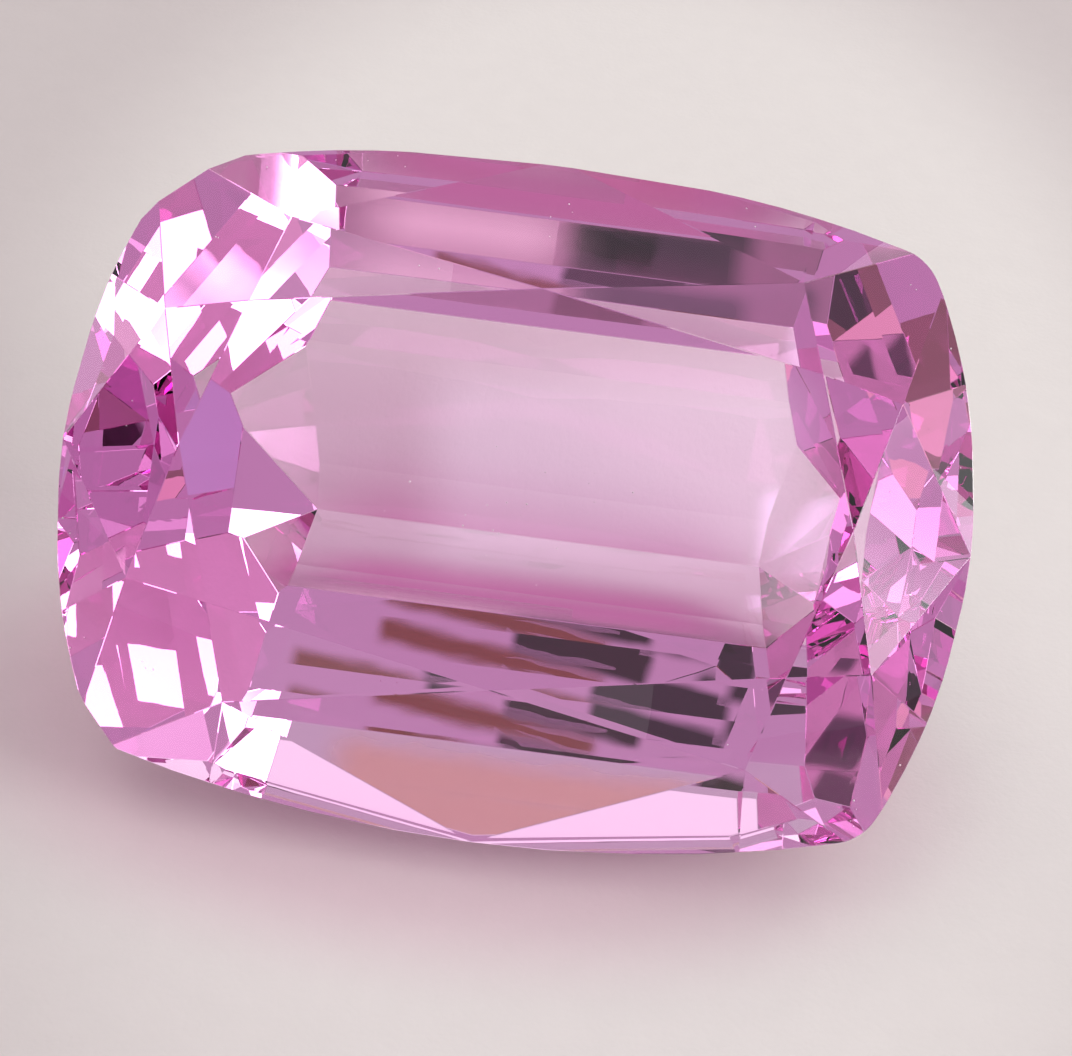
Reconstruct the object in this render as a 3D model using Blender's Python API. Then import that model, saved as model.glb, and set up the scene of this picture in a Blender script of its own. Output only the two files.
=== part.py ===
"""A cushion-cut kunzite gemstone, lying on one of the long facets of its back.

The stone is cut the way a gem cutter works. A block is ground to the bowed cushion outline. Then each facet
of the crown and of the back is one flat cut, and last the stone is laid down on a facet of its back.

While it is cut, the stone is in its own frame and in millimetres: X along its length, Y across it, Z up out
of the table, and the top of the girdle at Z = 0. Front is -Y and rear is +Y. The finished solid is in metres,
with Z up, the facet it lies on at Z = 0 and the middle of its box over the origin.
"""

import math

import bmesh
import bpy
from mathutils import Matrix, Vector

# Girdle outline: two long arcs, two end arcs and a small arc at each corner
HALF_LENGTH = 11.97
HALF_WIDTH = 9.02
LONG_SIDE_RADIUS = 38.0
END_RADIUS = 16.0
CORNER_RADIUS = 1.4
GIRDLE_THICKNESS = 0.4
OUTLINE_CUTS = 120

# Crown: points of one quarter of the stone, where its facets meet
CROWN_HEIGHT = 2.2
TABLE_ON_LONG_SIDE = 5.15
TABLE_ON_END = 8.6
TABLE_CORNER = (7.36, 3.88)
STAR_BY_LONG_SIDE = (6.66, 6.3)
STAR_BY_END = (9.55, 3.5)
CORNER_TIP = (10.2, 7.6)
GIRDLE_BY_LONG_SIDE = (6.9, 8.42)
GIRDLE_BY_END = (11.38, 4.5)

# Back: steps that start at a keel, each as (distance from the middle of the stone at which it starts, slope
# from the girdle plane in degrees)
KEEL_DEPTH = 9.4
KEEL_Y = -0.55
KEEL_LEFT_END = -5.55
KEEL_RIGHT_END = 6.9
REAR_STEPS = ((KEEL_Y, 29.5), (0.7, 32.5), (2.3, 33.0), (3.9, 35.5), (5.0, 49.5), (6.7, 61.0))
FRONT_STEPS = ((-KEEL_Y, 31.0), (2.2, 32.5), (2.85, 45.0), (4.9, 51.5))
RIGHT_STEPS = ((KEEL_RIGHT_END, 39.5), (8.7, 48.0))
LEFT_STEPS = ((-KEEL_LEFT_END, 42.0), (7.8, 56.0))

# Two facets at each corner of the back: how far they are turned from the stone's length, both slopes, and
# how far out from the keel's end the steeper one takes over
CORNER_CUTS = {
    "rear right": (46.0, 36.5, 54.0, 2.8),
    "front right": (44.5, 36.5, 50.0, 1.9),
    "front left": (40.0, 37.5, 54.5, 2.15),
    "rear left": (50.0, 35.0, 55.5, 3.8),
}

# The last facets of the back, which follow the girdle
REAR_GIRDLE_SLOPE = 69.5
FRONT_GIRDLE_SLOPE = 64.0
RIGHT_GIRDLE_SLOPE = 67.0
LEFT_GIRDLE_SLOPE = 67.0

# The stone lies on the front step of this slope
REST_SLOPE = 45.0

ON_PLANE = 1e-4
MILLIMETRE = 0.001

NAME = "kunzite_gem"
PINK = (0.80, 0.36, 0.66, 1.0)
KUNZITE_IOR = 1.665


def clear_scene():
    for old in list(bpy.data.objects):
        bpy.data.objects.remove(old, do_unlink=True)


def cut(stone, point, normal):
    """Grinds away all that lies outside a plane and closes the stone with one flat facet."""
    everything = stone.verts[:] + stone.edges[:] + stone.faces[:]
    bmesh.ops.bisect_plane(
        stone, geom=everything, dist=ON_PLANE, plane_co=point, plane_no=normal, clear_outer=True
    )
    rim = [edge for edge in stone.edges if edge.is_boundary]
    bmesh.ops.holes_fill(stone, edges=rim)


def cut_through(stone, a, b, c):
    """Cuts the facet that holds three points of the stone's surface."""
    a, b, c = Vector(a), Vector(b), Vector(c)
    normal = (b - a).cross(c - a).normalized()
    if normal.dot(a) < 0:
        normal.negate()
    cut(stone, a, normal)


def sloped(heading, slope):
    """The outward normal of a facet of the back: heading is its level direction, slope in degrees."""
    angle = math.radians(slope)
    level = Vector((heading[0], heading[1], 0.0)).normalized()
    return level * math.sin(angle) - Vector((0.0, 0.0, math.cos(angle)))


def outline_reach(heading):
    """How far the girdle reaches along a level direction."""
    along, across = abs(heading.x), abs(heading.y)
    long_centre = Vector((0.0, HALF_WIDTH - LONG_SIDE_RADIUS))
    end_centre = Vector((HALF_LENGTH - END_RADIUS, 0.0))
    long_inner = LONG_SIDE_RADIUS - CORNER_RADIUS
    end_inner = END_RADIUS - CORNER_RADIUS

    # The corner arc's centre is inside both big arcs by the corner radius
    between = end_centre - long_centre
    gap = between.length
    step = (long_inner**2 - end_inner**2 + gap**2) / (2 * gap)
    rise = math.sqrt(long_inner**2 - step**2)
    middle = long_centre + between * (step / gap)
    sideways = Vector((-between.y, between.x)) * (rise / gap)
    corner_centre = max(middle + sideways, middle - sideways, key=lambda p: p.x + p.y)

    to_long = (corner_centre - long_centre).normalized()
    to_end = (corner_centre - end_centre).normalized()
    if along * to_long.y < across * to_long.x:
        centre, radius = long_centre, LONG_SIDE_RADIUS
    elif along * to_end.y > across * to_end.x:
        centre, radius = end_centre, END_RADIUS
    else:
        centre, radius = corner_centre, CORNER_RADIUS
    return centre.x * along + centre.y * across + radius


def preform():
    """The block, ground to the cushion outline by tangent cuts."""
    stone = bmesh.new()
    height = CROWN_HEIGHT + KEEL_DEPTH
    bmesh.ops.create_cube(stone, size=1.0)
    bmesh.ops.scale(stone, verts=stone.verts, vec=(3 * HALF_LENGTH, 3 * HALF_WIDTH, height))
    bmesh.ops.translate(stone, verts=stone.verts, vec=(0.0, 0.0, CROWN_HEIGHT - height / 2))
    for turn in range(OUTLINE_CUTS):
        angle = 2 * math.pi * (turn + 0.5) / OUTLINE_CUTS
        heading = Vector((math.cos(angle), math.sin(angle), 0.0))
        cut(stone, heading * outline_reach(heading), heading)
    return stone


def height_on_kite(out, table_edge, girdle):
    """The height of a point on a kite that falls from the table's edge to the girdle."""
    return CROWN_HEIGHT * (girdle - out) / (girdle - table_edge)


def cut_crown(stone):
    """The stars, kites and girdle facets above the girdle, quarter by quarter."""
    long_star_height = height_on_kite(STAR_BY_LONG_SIDE[1], TABLE_ON_LONG_SIDE, HALF_WIDTH)
    end_star_height = height_on_kite(STAR_BY_END[0], TABLE_ON_END, HALF_LENGTH)
    for x in (1, -1):
        for y in (1, -1):
            table_long = (0.0, y * TABLE_ON_LONG_SIDE, CROWN_HEIGHT)
            table_corner = (x * TABLE_CORNER[0], y * TABLE_CORNER[1], CROWN_HEIGHT)
            table_end = (x * TABLE_ON_END, 0.0, CROWN_HEIGHT)
            long_star = (x * STAR_BY_LONG_SIDE[0], y * STAR_BY_LONG_SIDE[1], long_star_height)
            end_star = (x * STAR_BY_END[0], y * STAR_BY_END[1], end_star_height)
            long_tip = (0.0, y * HALF_WIDTH, 0.0)
            end_tip = (x * HALF_LENGTH, 0.0, 0.0)
            corner_tip = (x * CORNER_TIP[0], y * CORNER_TIP[1], 0.0)
            long_meet = (x * GIRDLE_BY_LONG_SIDE[0], y * GIRDLE_BY_LONG_SIDE[1], 0.0)
            end_meet = (x * GIRDLE_BY_END[0], y * GIRDLE_BY_END[1], 0.0)

            cut_through(stone, table_long, table_corner, long_star)
            cut_through(stone, table_corner, table_end, end_star)
            cut_through(stone, table_corner, long_star, end_star)
            cut_through(stone, long_star, long_tip, long_meet)
            cut_through(stone, long_star, corner_tip, long_meet)
            cut_through(stone, end_star, corner_tip, end_meet)
            cut_through(stone, end_star, end_tip, end_meet)
    for side in (1, -1):
        long_kite = [
            (0.0, side * TABLE_ON_LONG_SIDE, CROWN_HEIGHT),
            (STAR_BY_LONG_SIDE[0], side * STAR_BY_LONG_SIDE[1], long_star_height),
            (-STAR_BY_LONG_SIDE[0], side * STAR_BY_LONG_SIDE[1], long_star_height),
        ]
        end_kite = [
            (side * TABLE_ON_END, 0.0, CROWN_HEIGHT),
            (side * STAR_BY_END[0], STAR_BY_END[1], end_star_height),
            (side * STAR_BY_END[0], -STAR_BY_END[1], end_star_height),
        ]
        cut_through(stone, *long_kite)
        cut_through(stone, *end_kite)


def cut_steps(stone, heading, steps):
    """Cuts one side of the back, from the keel outwards."""
    height = -KEEL_DEPTH
    out, slope_inside = steps[0]
    for start, slope in steps:
        height += (start - out) * math.tan(math.radians(slope_inside))
        cut(stone, Vector(heading) * start + Vector((0.0, 0.0, height)), sloped(heading, slope))
        out, slope_inside = start, slope


def cut_corner(stone, x, y, turned, slope, steeper_slope, takeover):
    """Cuts the two facets that run from an end of the keel out to a corner."""
    angle = math.radians(turned)
    heading = Vector((x * math.cos(angle), y * math.sin(angle), 0.0))
    keel_end = Vector((KEEL_RIGHT_END if x > 0 else KEEL_LEFT_END, KEEL_Y, -KEEL_DEPTH))
    cut(stone, keel_end, sloped(heading, slope))
    rise = takeover * math.tan(math.radians(slope))
    cut(stone, keel_end + heading * takeover + Vector((0.0, 0.0, rise)), sloped(heading, steeper_slope))


def cut_below_girdle(stone, x, y, long_slope, end_slope):
    """Cuts the four facets of one quarter that follow the girdle from below."""
    corners = [
        Vector((0.0, y * HALF_WIDTH, 0.0)),
        Vector((x * GIRDLE_BY_LONG_SIDE[0], y * GIRDLE_BY_LONG_SIDE[1], 0.0)),
        Vector((x * CORNER_TIP[0], y * CORNER_TIP[1], 0.0)),
        Vector((x * GIRDLE_BY_END[0], y * GIRDLE_BY_END[1], 0.0)),
        Vector((x * HALF_LENGTH, 0.0, 0.0)),
    ]
    slopes = (long_slope, long_slope, end_slope, end_slope)
    for near, far, slope in zip(corners, corners[1:], slopes):
        chord = far - near
        heading = Vector((chord.y, -chord.x, 0.0))
        if heading.dot(near) < 0:
            heading.negate()
        cut(stone, near - Vector((0.0, 0.0, GIRDLE_THICKNESS)), sloped(heading, slope))


def cut_back(stone):
    cut_steps(stone, (0, 1, 0), REAR_STEPS)
    cut_steps(stone, (0, -1, 0), FRONT_STEPS)
    cut_steps(stone, (1, 0, 0), RIGHT_STEPS)
    cut_steps(stone, (-1, 0, 0), LEFT_STEPS)
    for place, cuts in CORNER_CUTS.items():
        x = 1 if "right" in place else -1
        y = 1 if "rear" in place else -1
        cut_corner(stone, x, y, *cuts)
        long_slope = REAR_GIRDLE_SLOPE if y > 0 else FRONT_GIRDLE_SLOPE
        end_slope = RIGHT_GIRDLE_SLOPE if x > 0 else LEFT_GIRDLE_SLOPE
        cut_below_girdle(stone, x, y, long_slope, end_slope)


def lay_down(stone):
    """Turns the stone onto its resting facet, centres it and takes it from millimetres to metres."""
    bmesh.ops.rotate(
        stone, verts=stone.verts, cent=(0, 0, 0), matrix=Matrix.Rotation(math.radians(REST_SLOPE), 3, "X")
    )
    for axis in range(3):
        low = min(vert.co[axis] for vert in stone.verts)
        high = max(vert.co[axis] for vert in stone.verts)
        shift = Vector((0.0, 0.0, 0.0))
        shift[axis] = -low if axis == 2 else -(low + high) / 2
        bmesh.ops.translate(stone, verts=stone.verts, vec=shift)
    bmesh.ops.scale(stone, verts=stone.verts, vec=(MILLIMETRE, MILLIMETRE, MILLIMETRE))


def kunzite():
    """Polished kunzite: clear, pale pink, with a bright vitreous lustre."""
    material = bpy.data.materials.new("kunzite")
    material.use_nodes = True
    shader = material.node_tree.nodes["Principled BSDF"]
    shader.inputs["Base Color"].default_value = PINK
    shader.inputs["Roughness"].default_value = 0.0
    shader.inputs["Metallic"].default_value = 0.0
    shader.inputs["Transmission Weight"].default_value = 1.0
    shader.inputs["IOR"].default_value = KUNZITE_IOR
    return material


def main():
    clear_scene()
    parts = bpy.data.collections.new(NAME)
    bpy.context.scene.collection.children.link(parts)

    stone = preform()
    cut_crown(stone)
    cut_back(stone)
    lay_down(stone)
    bmesh.ops.recalc_face_normals(stone, faces=stone.faces)

    mesh = bpy.data.meshes.new(NAME)
    stone.to_mesh(mesh)
    stone.free()
    mesh.materials.append(kunzite())
    parts.objects.link(bpy.data.objects.new(NAME, mesh))


main()
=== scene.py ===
"""Looks of a cushion-cut kunzite that lies on backdrop paper, lit softly from the right. The
paper's colour holds painted light and shade.

Lengths are in millimetres, unless a comment says otherwise. A direction from the stone is an
azimuth, 0 to the front and 90 to the right, and an elevation, both in degrees."""

import math
import random

import bmesh
import bpy
from mathutils import Matrix, Vector


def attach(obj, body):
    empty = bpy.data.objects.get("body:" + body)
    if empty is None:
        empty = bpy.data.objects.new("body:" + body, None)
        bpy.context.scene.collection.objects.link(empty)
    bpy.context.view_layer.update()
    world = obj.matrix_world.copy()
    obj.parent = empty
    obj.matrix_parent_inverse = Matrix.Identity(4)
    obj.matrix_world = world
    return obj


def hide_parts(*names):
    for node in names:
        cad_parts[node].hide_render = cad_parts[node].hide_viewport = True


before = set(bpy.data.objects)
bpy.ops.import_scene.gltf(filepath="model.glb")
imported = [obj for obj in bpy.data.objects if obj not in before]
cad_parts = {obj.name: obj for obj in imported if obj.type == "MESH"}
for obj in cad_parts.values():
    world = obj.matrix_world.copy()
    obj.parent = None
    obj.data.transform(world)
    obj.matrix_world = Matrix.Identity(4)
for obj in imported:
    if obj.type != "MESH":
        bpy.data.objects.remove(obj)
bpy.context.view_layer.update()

# One millimetre in metres
MM = 0.001

STONE = "kunzite_gem"
WHITE = "#ffffff"

# The solid comes as loose triangles: corners this close are one corner, and triangles this flat to
# each other are one facet
SAME_CORNER = 0.002
SAME_FACET = math.radians(0.2)

# Facet junctions: how wide the polish has rounded them, and the least fold that counts as one
JUNCTION_WIDTH = 0.026
JUNCTION_FOLD = math.radians(3.5)

# Grinding: how near its plane a corner counts as on it, and how close together the corners of a
# scrap are, which are made one
ON_PLANE = 1e-5
SCRAP = 0.0004

# Kunzite: its refractive index, and its absorption. BODY_COLOUR is about what is left of white
# light after 1 / BODY_DENSITY metres, or 11 mm, of stone.
KUNZITE_IOR = 1.665
BODY_COLOUR = "#f9c8f0"
BODY_DENSITY = 90.0

# The waves that the lap leaves in a facet: how far apart and how deep
LAP_WAVE = 1.4
LAP_DEPTH = 0.0006

# Dust on the stone: which facets hold it, by how far up they face and by their area in square mm,
# and the number, radius and colour of its grains
DUST_SLOPE = 0.3
DUST_FACET = 1.0
DUST_SEED = 5
DUST_GRAINS = 60
DUST_RADIUS = (0.012, 0.028)
DUST_COLOUR = "#f4f0ee"

# The backdrop paper: half its side, and how far its fibres hold the stone off its even surface
PAPER_HALF_SIDE = 4000.0
FIBRE_GAP = 0.04

# Where the paper's fibres lie closer: how far apart, and how bright the paper is there and
# elsewhere
PAPER_CLOUD = 1.1
CLOUD_TONES = (0.96, 1.0)

# The paper's grain: how far apart its tufts are, how high they stand, and how strongly they show.
# Single fibres are about 0.02 wide, too fine to show, so the grain is drawn ten times as coarse.
PAPER_TUFT = 0.22
TUFT_HEIGHT = 0.02
TUFT_RELIEF = 0.5

# Uncoated paper scatters nearly all light and shines little
PAPER_ROUGHNESS = 0.85
PAPER_SHINE = 0.2

# Soft pools of painted light and shade on the paper: middle, spread to each side, colour at the rim
# and in the middle, and how far in from the rim the middle's colour is reached, as a share of the
# spread. The first is painted shade, which turns the paper pale grey further out from the stone,
# and the second is painted pink light that the stone passes on to it.
PAINTED_FALLOFF = ((3.0, 13.6, 0.0), (24.0, 45.0, 45.0), "#d2ccc6", "#eae8df", 0.42)
PAINTED_PINK_LIGHT = ((-1.5, -2.0, 0.0), (16.6, 9.7, 9.7), WHITE, "#fcebf3", 0.40)

# The net curtain: its colour, how far apart its folds are, and how dark and bright they are beside
# its mean. NOISE_SPAN is the part of a noise's range that nearly all its values lie in.
CURTAIN_COLOUR = "#fcfaff"
CURTAIN_FOLD = 90.0
CURTAIN_TONES = (0.35, 1.65)
NOISE_SPAN = (0.36, 0.64)

# The even light of the room around the set, a pale pinkish grey
ROOM_COLOUR = "#c5bcc5"

# Distances of lights and cards from the stone
LIGHT_DISTANCE = 500.0
CARD_DISTANCE = 200.0
NEAR_CARD_DISTANCE = 190.0

# Camera: its place, the point it aims at, and how far it is rolled
CAMERA_PLACE = Vector((1.132, -51.195, 48.522))
CAMERA_AIM = Vector((0.6054, 0.2216, 6.0))
CAMERA_ROLL = math.radians(7.044)
LENS = 83.453
SENSOR_WIDTH = 36.0
NEAREST_SEEN = 1.0

# How often light turns inside the stone before it is given up
BOUNCES = 12

# What the sheets around the stone are made of. Felt, card and wood are matt, so facets show them as
# even dark, brown or cream areas without a highlight. Lit tissue is luminous, so facets show it as
# a soft glow. The painted light sheets glow and the painted shadow sheets are dark: they are
# painted light and painted shadow on the paper under the stone, which only the facets show.
SHEETS = {
    "black felt": "#121013",
    "painted shadow black": "#171315",
    "dark brown card": "#2c262b",
    "charcoal card": "#302a30",
    "painted shadow grey": "#585058",
    "kraft card": "#9a8478",
    "cream card": "#f8d8bc",
    "planed wood": "#95694a",
    "painted light white": "#fff0ff",
    "painted light pink": "#ee90c8",
    "painted light cream": "#fbe2e6",
    "lit blue-white tissue": "#f2ecff",
}


def linear(colour):
    """An sRGB hex colour as the linear values that lamps take."""
    channels = [int(colour[start : start + 2], 16) / 255 for start in (1, 3, 5)]
    return [c / 12.92 if c <= 0.04045 else ((c + 0.055) / 1.055) ** 2.4 for c in channels]


def shade(colour):
    """An sRGB hex colour as the linear values that a shader's colour socket takes."""
    return (*linear(colour), 1.0)


def in_metres(lengths):
    """Lengths in millimetres as the metres that the scene is built in."""
    return [length * MM for length in lengths]


def half_side(angle, distance):
    """Half the side of a sheet that fills twice the angle, as seen from the distance."""
    return distance * math.tan(math.radians(angle))


def new_material(name, constants):
    """A material with these constants on the sockets of its Principled shader."""
    material = bpy.data.materials.new(name)
    material.use_nodes = True
    for socket, value in constants.items():
        material.node_tree.nodes["Principled BSDF"].inputs[socket].default_value = value
    return material


def matt(name, colour):
    """A surface that scatters light evenly and has no highlight."""
    return new_material(name, {"Base Color": shade(colour), "Roughness": 1.0})


def add_node(tree, kind, settings=None, links=None):
    """Adds a node, sets its properties and sockets, and links sockets to other nodes' outputs."""
    node = tree.nodes.new(kind)
    for name, value in (settings or {}).items():
        if isinstance(name, str) and hasattr(node, name):
            setattr(node, name, value)
        else:
            node.inputs[name].default_value = value
    for name, output in (links or {}).items():
        tree.links.new(output, node.inputs[name])
    return node


def feed(tree, output, node, socket):
    """Links an output to a socket of a node that the material came with."""
    tree.links.new(output, tree.nodes[node].inputs[socket])


def facets_of(node):
    """The stone's solid as true facets, in millimetres."""
    stone = bmesh.new()
    stone.from_mesh(node.data)
    bmesh.ops.scale(stone, verts=stone.verts, vec=(1 / MM, 1 / MM, 1 / MM))
    bmesh.ops.remove_doubles(stone, verts=stone.verts, dist=SAME_CORNER)
    bmesh.ops.dissolve_limit(stone, angle_limit=SAME_FACET, verts=stone.verts, edges=stone.edges)
    return stone


def grind(stone, point, normal):
    """Grinds away all that lies outside a plane and closes the stone with one flat facet."""
    everything = stone.verts[:] + stone.edges[:] + stone.faces[:]
    bmesh.ops.bisect_plane(
        stone, geom=everything, dist=ON_PLANE, plane_co=point, plane_no=normal, clear_outer=True
    )
    rim = [edge for edge in stone.edges if edge.is_boundary]
    if rim:
        bmesh.ops.holes_fill(stone, edges=rim)


def round_junctions(stone):
    """Takes the sharp edge off each junction between two facets, as polishing does."""
    cuts = []
    for edge in stone.edges:
        if len(edge.link_faces) != 2:
            continue
        one, other = [face.normal for face in edge.link_faces]
        fold = one.angle(other)
        if fold < JUNCTION_FOLD:
            continue
        outward = (one + other).normalized()
        depth = JUNCTION_WIDTH * math.tan(fold / 2) / 2
        cuts.append((edge.verts[0].co - outward * depth, outward))
    for point, outward in cuts:
        grind(stone, point, outward)


def polished_kunzite():
    """Spodumene, cut and polished with diamond on a metal lap: clear, with a bright glassy lustre.
    Manganese takes green out of the light on its way through the stone, so short ways look lilac
    and long ones mauve. The lap leaves facets slightly wavy, which bends what shows in them."""
    material = new_material(
        "polished kunzite",
        {
            "Base Color": shade(WHITE),
            "Roughness": 0.0,
            "IOR": KUNZITE_IOR,
            "Transmission Weight": 1.0,
        },
    )
    tree = material.node_tree
    place = add_node(tree, "ShaderNodeTexCoord").outputs["Object"]
    waves = add_node(
        tree, "ShaderNodeTexNoise", {"Scale": 1 / (LAP_WAVE * MM), "Detail": 1.0}, {"Vector": place}
    )
    polish = add_node(
        tree,
        "ShaderNodeBump",
        {"Strength": 1.0, "Distance": LAP_DEPTH * MM},
        {"Height": waves.outputs["Fac"]},
    )
    body = add_node(
        tree,
        "ShaderNodeVolumeAbsorption",
        {"Color": shade(BODY_COLOUR), "Density": BODY_DENSITY},
    )
    feed(tree, polish.outputs["Normal"], "Principled BSDF", "Normal")
    feed(tree, body.outputs["Volume"], "Material Output", "Volume")
    return material


def painted_pool(tree, place, middle, spread, rim_colour, middle_colour, reached):
    """The colour of a soft pool of painted light or painted shade on the paper, from its rim to its
    middle.
    """
    spot = add_node(
        tree,
        "ShaderNodeMapping",
        {"vector_type": "TEXTURE", "Location": in_metres(middle), "Scale": in_metres(spread)},
        {"Vector": place},
    )
    rings = add_node(
        tree, "ShaderNodeTexGradient", {"gradient_type": "SPHERICAL"}, {"Vector": spot.outputs[0]}
    )
    tone = add_node(tree, "ShaderNodeValToRGB", links={"Fac": rings.outputs["Fac"]})
    tone.color_ramp.interpolation = "EASE"
    rim_stop, middle_stop = tone.color_ramp.elements
    rim_stop.color = shade(rim_colour)
    middle_stop.color = shade(middle_colour)
    middle_stop.position = reached
    return tone.outputs["Color"]


def backdrop_paper():
    """Smooth uncoated backdrop paper: matt, faintly cloudy where its fibres lie closer, and finely
    grained. Its colour holds painted shade, from off-white behind the stone to pale grey further
    out, and painted pink light round the stone."""
    material = new_material(
        "backdrop paper with painted light and shade",
        {"Roughness": PAPER_ROUGHNESS, "Specular IOR Level": PAPER_SHINE},
    )
    tree = material.node_tree
    place = add_node(tree, "ShaderNodeTexCoord").outputs["Object"]
    # Painted shade: the paper turns pale grey further out from the stone
    graduated = painted_pool(tree, place, *PAINTED_FALLOFF)
    # Painted pink light: the pink that the stone passes on to the paper round it
    painted_pink = painted_pool(tree, place, *PAINTED_PINK_LIGHT)
    lit = add_node(
        tree, "ShaderNodeVectorMath", {"operation": "MULTIPLY"}, {0: graduated, 1: painted_pink}
    )
    clouds = add_node(
        tree,
        "ShaderNodeTexNoise",
        {"Scale": 1 / (PAPER_CLOUD * MM), "Detail": 2.0},
        {"Vector": place},
    )
    mottle = add_node(
        tree,
        "ShaderNodeMapRange",
        {"To Min": CLOUD_TONES[0], "To Max": CLOUD_TONES[1]},
        {"Value": clouds.outputs["Fac"]},
    )
    mottled = add_node(
        tree,
        "ShaderNodeVectorMath",
        {"operation": "SCALE"},
        {0: lit.outputs[0], "Scale": mottle.outputs[0]},
    )
    tufts = add_node(
        tree,
        "ShaderNodeTexNoise",
        {"Scale": 1 / (PAPER_TUFT * MM), "Detail": 2.0, "Roughness": 0.65},
        {"Vector": place},
    )
    grain = add_node(
        tree,
        "ShaderNodeBump",
        {"Strength": TUFT_RELIEF, "Distance": TUFT_HEIGHT * MM},
        {"Height": tufts.outputs["Fac"]},
    )
    feed(tree, mottled.outputs[0], "Principled BSDF", "Base Color")
    feed(tree, grain.outputs["Normal"], "Principled BSDF", "Normal")
    return material


def net_curtain(radiance):
    """Daylight through a net curtain: white, in soft patches where its folds lie and trees stand
    outside, so the facets that show it look cloudy."""
    material = new_material("net curtain", {})
    tree = material.node_tree
    place = add_node(tree, "ShaderNodeTexCoord").outputs["Object"]
    folds = add_node(
        tree,
        "ShaderNodeTexNoise",
        {"Scale": 1 / (CURTAIN_FOLD * MM), "Detail": 1.5, "Roughness": 0.6},
        {"Vector": place},
    )
    light = add_node(
        tree,
        "ShaderNodeMapRange",
        {
            "From Min": NOISE_SPAN[0],
            "From Max": NOISE_SPAN[1],
            "To Min": CURTAIN_TONES[0] * radiance,
            "To Max": CURTAIN_TONES[1] * radiance,
        },
        {"Value": folds.outputs["Fac"]},
    )
    daylight = add_node(
        tree,
        "ShaderNodeEmission",
        {"Color": shade(CURTAIN_COLOUR)},
        {"Strength": light.outputs[0]},
    )
    feed(tree, daylight.outputs[0], "Material Output", "Surface")
    return material


def soft_edged(sheet, radiance, half_width, half_height, soft):
    """One of the SHEETS, matt or with a radiance, that turns clear over its edges. Like a thing out
    of focus, it shows in a facet without a hard outline."""
    material = matt(sheet, SHEETS[sheet])
    tree = material.node_tree
    surface = tree.nodes["Principled BSDF"]
    if radiance:
        surface = add_node(
            tree, "ShaderNodeEmission", {"Color": shade(SHEETS[sheet]), "Strength": radiance}
        )
    place = add_node(tree, "ShaderNodeTexCoord").outputs["Object"]
    axes = add_node(tree, "ShaderNodeSeparateXYZ", links={"Vector": place})
    covers = []
    for axis, half in (("X", half_width), ("Y", half_height)):
        reach = add_node(tree, "ShaderNodeMath", {"operation": "ABSOLUTE"}, {0: axes.outputs[axis]})
        fade = {
            "interpolation_type": "SMOOTHSTEP",
            "From Min": (half - soft) * MM,
            "From Max": (half + soft) * MM,
            "To Min": 1.0,
            "To Max": 0.0,
        }
        covers.append(add_node(tree, "ShaderNodeMapRange", fade, {"Value": reach.outputs[0]}))
    cover = add_node(
        tree,
        "ShaderNodeMath",
        {"operation": "MULTIPLY"},
        {0: covers[0].outputs[0], 1: covers[1].outputs[0]},
    )
    clear = add_node(tree, "ShaderNodeBsdfTransparent")
    edged = add_node(
        tree,
        "ShaderNodeMixShader",
        links={0: cover.outputs[0], 1: clear.outputs[0], 2: surface.outputs[0]},
    )
    feed(tree, edged.outputs[0], "Material Output", "Surface")
    return material


def cut_stone():
    """The stone: the solid's own facets with rounded junctions, in clear kunzite."""
    stone = facets_of(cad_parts[STONE])
    round_junctions(stone)
    bmesh.ops.remove_doubles(stone, verts=stone.verts, dist=SCRAP)
    bmesh.ops.recalc_face_normals(stone, faces=stone.faces)
    bmesh.ops.scale(stone, verts=stone.verts, vec=(MM, MM, MM))
    mesh = bpy.data.meshes.new("cut_kunzite")
    stone.to_mesh(mesh)
    dust_on(stone)
    stone.free()
    mesh.materials.append(polished_kunzite())
    piece = bpy.data.objects.new("cut_kunzite", mesh)
    bpy.context.scene.collection.objects.link(piece)
    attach(piece, "root")
    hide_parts(STONE)


def add_to_set(name, shape, material, place=Matrix()):
    """Puts a shape in the set around the stone. It isn't part of the object."""
    mesh = bpy.data.meshes.new(name)
    shape.to_mesh(mesh)
    shape.free()
    mesh.materials.append(material)
    placed = bpy.data.objects.new(name, mesh)
    placed.matrix_world = place
    bpy.context.scene.collection.objects.link(placed)
    return placed


def dust_on(stone):
    """Pale matt dust, settled on the facets that face up. Each grain shows as a tiny pale speck."""
    chance = random.Random(DUST_SEED)
    facets = [
        face
        for face in stone.faces
        if face.normal.z > DUST_SLOPE and face.calc_area() > DUST_FACET * MM * MM
    ]
    areas = [face.calc_area() for face in facets]
    grains = bmesh.new()
    for facet in chance.choices(facets, weights=areas, k=DUST_GRAINS):
        corners = [corner.co for corner in facet.verts]
        shares = [chance.random() for corner in corners]
        spot = sum((co * share for co, share in zip(corners, shares)), Vector()) / sum(shares)
        size = chance.uniform(*DUST_RADIUS) * MM
        resting = Matrix.Translation(spot + facet.normal * size)
        bmesh.ops.create_icosphere(grains, subdivisions=1, radius=size, matrix=resting)
    add_to_set("dust", grains, matt("dust", DUST_COLOUR))


def rectangle(half_width, half_height):
    """A flat sheet that faces up, with its middle at the origin."""
    sheet = bmesh.new()
    bmesh.ops.create_grid(sheet, x_segments=1, y_segments=1, size=MM)
    bmesh.ops.scale(sheet, verts=sheet.verts, vec=(half_width, half_height, 1.0))
    return sheet


def paper_floor():
    """The backdrop paper, which runs on well past what the camera sees."""
    sheet = rectangle(PAPER_HALF_SIDE, PAPER_HALF_SIDE)
    bmesh.ops.translate(sheet, verts=sheet.verts, vec=(0.0, 0.0, -FIBRE_GAP * MM))
    add_to_set("floor", sheet, backdrop_paper())


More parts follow.
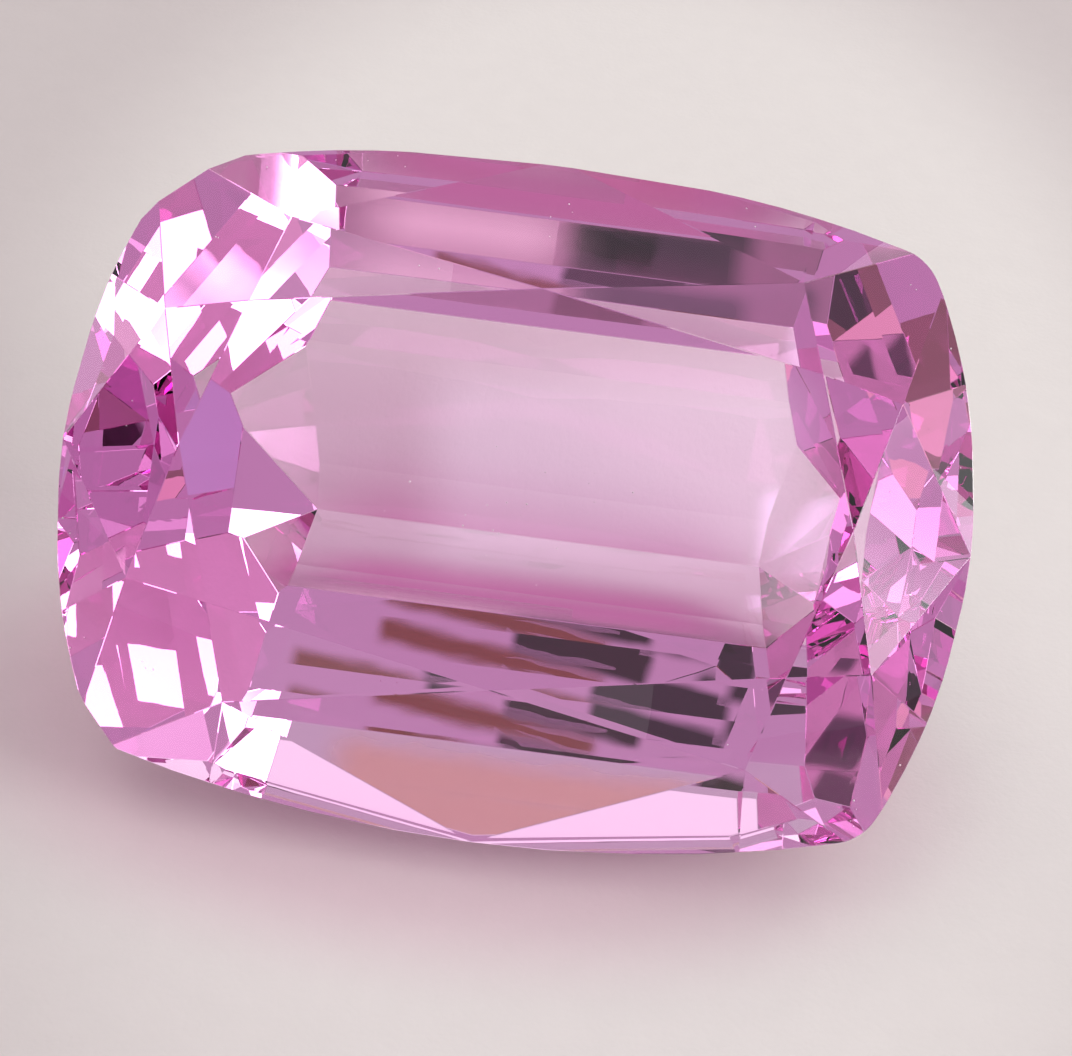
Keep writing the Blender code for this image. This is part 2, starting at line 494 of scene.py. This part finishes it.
def facing_stone(azimuth, elevation, distance):
    """A place in a direction from the stone and at a distance from it, turned to face it."""
    turn, rise = math.radians(azimuth), math.radians(elevation)
    away = Vector(
        (math.sin(turn) * math.cos(rise), -math.cos(turn) * math.cos(rise), math.sin(rise))
    )
    facing = away.to_track_quat("Z", "Y").to_matrix().to_4x4()
    return Matrix.Translation(away * distance * MM) @ facing


def on_paper(left, right, near, far):
    """The middle of an area of the paper, just under the stone and above the paper's surface."""
    middle = ((left + right) / 2, (near + far) / 2, -FIBRE_GAP / 2)
    return Matrix.Translation(in_metres(middle))


def on_lens(right, above):
    """A place beside the lens, as far forward as the lens and turned as it is."""
    return lens_place() @ Matrix.Translation(in_metres((right, above, 0.0)))


def add_lamp(name, half_width, half_height, radiance, colour, place):
    """A rectangle of light that is even from edge to edge, as a lamp behind white cloth gives."""
    lamp = bpy.data.lights.new(name, "AREA")
    lamp.shape = "RECTANGLE"
    lamp.size, lamp.size_y = in_metres((2 * half_width, 2 * half_height))
    lamp.energy = radiance * math.pi * lamp.size * lamp.size_y
    lamp.color = linear(colour)
    placed = bpy.data.objects.new(name, lamp)
    placed.matrix_world = place
    placed.visible_camera = False
    bpy.context.scene.collection.objects.link(placed)


def soft_box(name, azimuth, elevation, half_width, half_height, radiance, colour):
    """A soft box that faces the stone."""
    wide, high = [half_side(angle, LIGHT_DISTANCE) for angle in (half_width, half_height)]
    place = facing_stone(azimuth, elevation, LIGHT_DISTANCE)
    add_lamp(name, wide, high, radiance, colour, place)


def low_panel(name, left, right, near, far, radiance):
    """A luminous sheet that lies on the paper and faces up."""
    face_up = Matrix.Rotation(math.pi, 4, "X")
    place = on_paper(left, right, near, far) @ face_up
    add_lamp(name, (right - left) / 2, (far - near) / 2, radiance, WHITE, place)


def curtained_window(name, azimuth, elevation, half_width, half_height, radiance):
    """A window behind a net curtain, facing the stone."""
    wide, high = [half_side(angle, LIGHT_DISTANCE) for angle in (half_width, half_height)]
    place = facing_stone(azimuth, elevation, LIGHT_DISTANCE)
    placed = add_to_set(name, rectangle(wide, high), net_curtain(radiance), place)
    placed.visible_camera = False


def far_card(name, azimuth, elevation, half_width, half_height, distance, sheet):
    """A card with sharp edges that faces the stone."""
    wide, high = [half_side(angle, distance) for angle in (half_width, half_height)]
    place = facing_stone(azimuth, elevation, distance)
    placed = add_to_set(name, rectangle(wide, high), matt(sheet, SHEETS[sheet]), place)
    placed.visible_camera = False


def soft_card(name, half_width, half_height, soft, sheet, radiance, place):
    """A card with soft edges that only the facets show."""
    shape = rectangle(half_width + soft, half_height + soft)
    material = soft_edged(sheet, radiance, half_width, half_height, soft)
    placed = add_to_set(name, shape, material, place)
    placed.visible_camera = False
    return placed


def painted_patch(name, left, right, near, far, soft, sheet, radiance):
    """A patch of painted light or painted shadow on the paper, which only the facets show. It
    leaves the paper's own light as it is.
    """
    place = on_paper(left, right, near, far)
    half_width, half_height = (right - left) / 2, (far - near) / 2
    patch = soft_card(name, half_width, half_height, soft, sheet, radiance, place)
    patch.visible_diffuse = False
    patch.visible_shadow = False


def lens_flag(name, right, above, half_width, half_height, soft, sheet, radiance):
    """A card in the plane of the lens, and beside it."""
    place = on_lens(right, above)
    return soft_card(name, half_width, half_height, soft, sheet, radiance, place)


def table_glow():
    """A glow that the table reflects as a pale veil, and that doesn't show through it."""
    lens_flag(*TABLE_GLOW).visible_transmission = False


def soft_far_card(name, azimuth, elevation, half_width, half_height, soft, distance, sheet):
    """A card with soft edges that faces the stone."""
    sizes = [half_side(angle, distance) for angle in (half_width, half_height, soft)]
    soft_card(name, *sizes, sheet, 0.0, facing_stone(azimuth, elevation, distance))


def room():
    """The pale room around the set."""
    world = bpy.data.worlds.new("room")
    bpy.context.scene.world = world
    world.use_nodes = True
    world.node_tree.nodes["Background"].inputs["Color"].default_value = shade(ROOM_COLOUR)


def lens_place():
    """Where the lens is, aimed and rolled as the camera."""
    look = (CAMERA_AIM - CAMERA_PLACE).to_track_quat("-Z", "Y").to_matrix().to_4x4()
    return Matrix.Translation(CAMERA_PLACE * MM) @ look @ Matrix.Rotation(CAMERA_ROLL, 4, "Z")


def camera():
    """The camera at the angle from which the stone was seen."""
    lens = bpy.data.cameras.new("camera")
    lens.sensor_fit = "HORIZONTAL"
    lens.sensor_width = SENSOR_WIDTH
    lens.lens = LENS
    lens.clip_start = NEAREST_SEEN * MM
    placed = bpy.data.objects.new("camera", lens)
    placed.matrix_world = lens_place()
    bpy.context.scene.collection.objects.link(placed)
    bpy.context.scene.camera = placed


def light_paths():
    """Light reflects many times inside the stone before it leaves, so reflections are followed as
    far as refractions. Colours show as they are, without a film's curve."""
    cycles = bpy.context.scene.cycles
    cycles.max_bounces = BOUNCES
    cycles.transmission_bounces = BOUNCES
    cycles.glossy_bounces = BOUNCES
    bpy.context.scene.view_settings.view_transform = "Standard"


# Windows, as the stone sees them: name, azimuth, elevation, half width and half height in degrees,
# and radiance
WINDOWS = [
    ("window", 76, 31, 15, 12, 5.6),
    ("window sill", 86, 12, 12, 6.5, 3.2),
]

# Soft boxes: the same, and the light's colour
SOFT_BOXES = [
    ("window side", 100, 20, 4, 10, 0.8, WHITE),
    ("window foot", 64, 10, 4, 5, 0.6, WHITE),
    ("rear wall", 165, 28, 30, 17, 0.6, WHITE),
    ("rear corner right", 135, 52, 13, 10, 1.2, WHITE),
    ("rear corner left", -135, 52, 13, 10, 1.1, WHITE),
    ("overhead box", -90, 72, 16, 10, 0.9, WHITE),
    ("front side box", 44, 38, 9, 7, 1.2, WHITE),
    ("blue side box", 42, 19, 5, 4, 0.16, "#5a70ff"),
    ("left lamp", -99, 8, 7, 6, 1.6, WHITE),
    ("left warm lamp", -72, 27, 11, 2.5, 0.35, "#ffd890"),
    ("front low", -10, 9, 18, 8, 0.4, WHITE),
]

# Luminous sheets on the paper: name, left, right, near and far sides, radiance
LOW_PANELS = [
    ("low rear panel", 14.0, 17.8, 11.9, 17.8, 8.0),
    ("low far panel", 17.8, 30.0, 17.8, 40.0, 4.2),
    ("low side panel", 11.5, 13.2, 0.7, 5.0, 3.6),
]

# Cards that face the stone: name, azimuth, elevation, half width and half height in degrees,
# distance, and what they are made of
FAR_CARDS = [
    ("left card", -84, 33.5, 24, 3.5, CARD_DISTANCE, "kraft card"),
    ("dark left card", -59.5, 31, 4, 1.7, NEAR_CARD_DISTANCE, "charcoal card"),
    ("low left card", -87, 17, 5.5, 3.4, NEAR_CARD_DISTANCE, "dark brown card"),
]

# The one with soft edges: the same, with half the width of the soft edge after the half height
SOFT_FAR_CARD = ("cream rear card", 179, 50.4, 6.0, 1.3, 0.8, CARD_DISTANCE, "cream card")

# The glow and the flags beside the lens: name, how far right of its axis and above it, half width,
# half height, half the width of the soft edge, what they are made of, and radiance
TABLE_GLOW = ("table glow", 5.0, 15.2, 9.6, 5.0, 2.2, "lit blue-white tissue", 2.9)
LENS_FLAGS = [
    ("dark flag", 6.9, 33.5, 4.1, 1.3, 0.4, "black felt", 0.0),
    ("low dark flag", 12.6, 30.0, 1.9, 2.4, 0.5, "black felt", 0.0),
    ("wooden batten", 1.8, 35.4, 6.8, 0.7, 0.5, "planed wood", 0.0),
    ("upper dark flag", 5.8, 37.2, 2.9, 1.1, 0.4, "black felt", 0.0),
    ("high dark flag", 1.2, 44.0, 1.3, 1.8, 0.5, "black felt", 0.0),
]

# Patches of painted light and painted shadow on the paper: name, left, right, near and far sides,
# half the width of the soft edge, what they are made of, and radiance
PAINTED_PATCHES = [
    # Painted light: glowing patches on the paper where light through the stone falls
    ("painted light near", 7.0, 7.8, 5.9, 7.6, 0.35, "painted light white", 1.1),
    ("painted pink light", -5.0, 6.0, 3.2, 6.1, 1.7, "painted light pink", 0.62),
    ("painted warm light", -5.4, 0.4, 0.9, 3.1, 1.5, "painted light cream", 0.95),
    # Painted shadow: the stone's shadow at the left rear, and its contact shadow under it
    ("painted shadow left", -15.0, -12.6, 8.1, 10.8, 0.3, "painted shadow grey", 0.0),
    ("painted shadow under stone", 0.5, 5.5, 1.0, 3.2, 0.45, "painted shadow black", 0.0),
]

cut_stone()
paper_floor()
camera()
room()
light_paths()
for window in WINDOWS:
    curtained_window(*window)
for box in SOFT_BOXES:
    soft_box(*box)
for panel in LOW_PANELS:
    low_panel(*panel)
for card in FAR_CARDS:
    far_card(*card)
soft_far_card(*SOFT_FAR_CARD)
table_glow()
for flag in LENS_FLAGS:
    lens_flag(*flag)
for patch in PAINTED_PATCHES:
    painted_patch(*patch)
